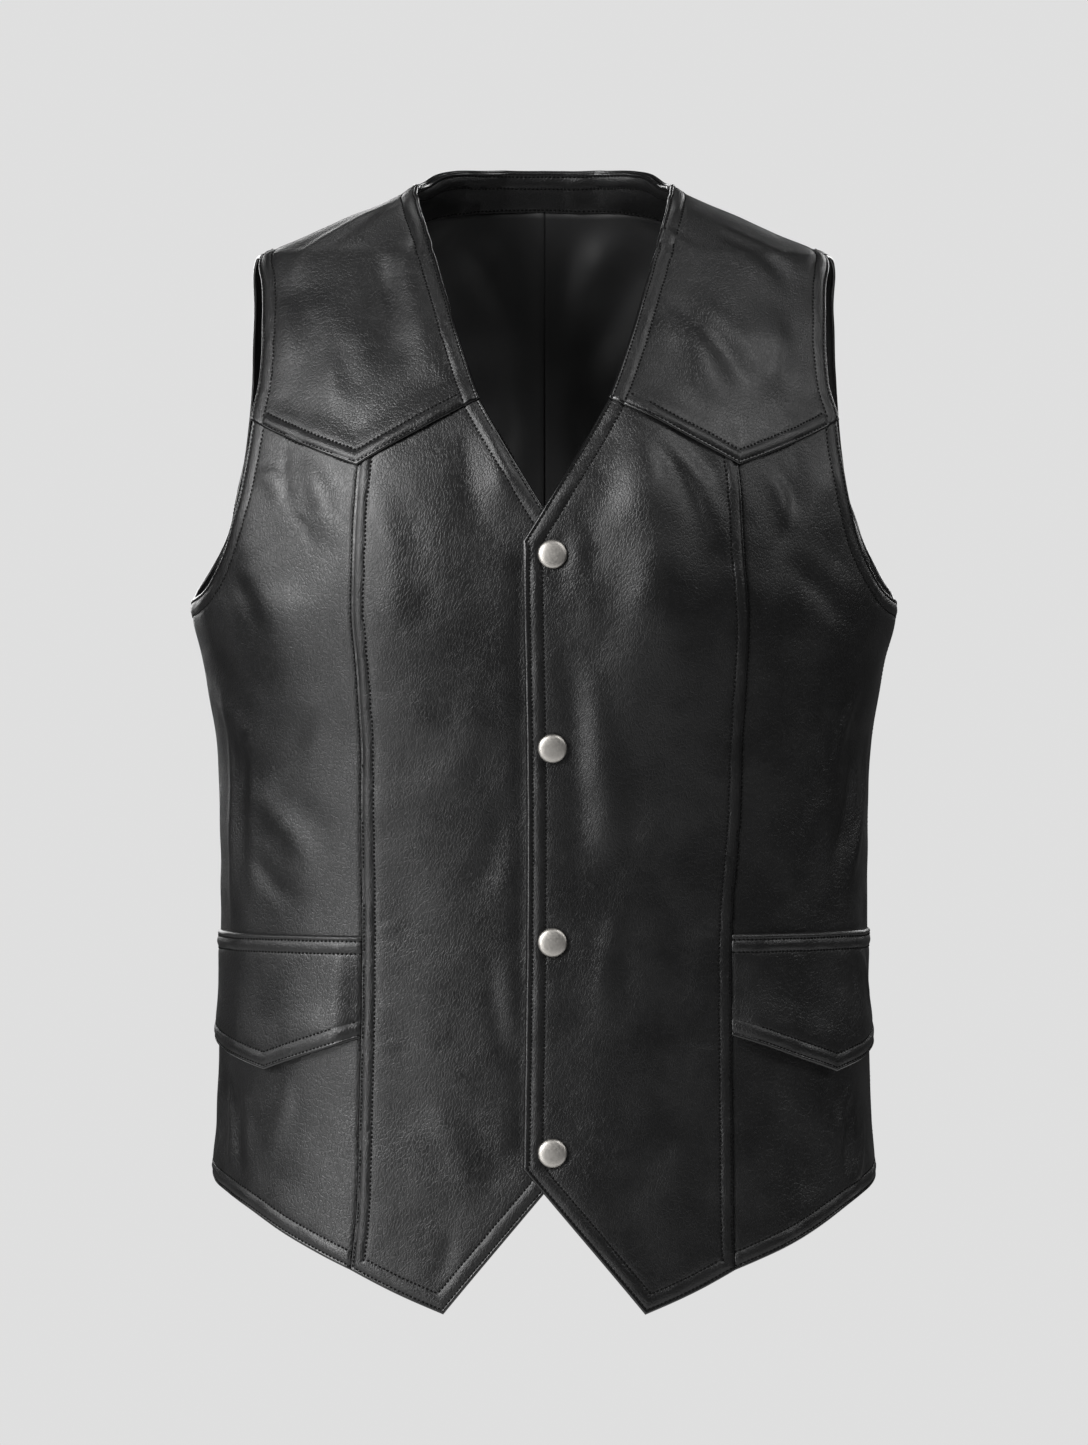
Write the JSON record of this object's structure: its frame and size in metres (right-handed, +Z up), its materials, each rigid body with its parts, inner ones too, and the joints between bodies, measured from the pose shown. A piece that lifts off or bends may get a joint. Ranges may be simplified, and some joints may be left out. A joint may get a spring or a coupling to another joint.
{
  "type": "biker vest",
  "caption": "Hollow sleeveless leather vest in its worn form, with pointed yokes, lapped seams, pocket flaps, a snap front and a pointed hem.",
  "frame": {"origin": "between the shoulders, level with the points where the shoulder seams meet the neck edge", "axes": "+Z up along the wearer's body, front towards -Y, wearer's left towards +X"},
  "size_m": [0.416, 0.2615, 0.6688],
  "materials": {
    "leather": "semi-gloss black leather with a fine grain",
    "lining": "black satin",
    "nickel": "satin nickel"
  },
  "bodies": {
    "root": {"yoke_front_right": "leather", "yoke_front_left": "leather", "front_centre_right": "leather", "front_centre_left": "leather", "front_side_right": "leather", "front_side_left": "leather", "pocket_flap_right": "leather", "pocket_flap_left": "leather", "back": "leather", "back_neck_facing": "leather", "lining_back_right": "lining", "lining_back_left": "lining", "snap_cap_1": "nickel", "snap_cap_2": "nickel", "snap_cap_3": "nickel", "snap_cap_4": "nickel"}
  },
  "joints": []
}
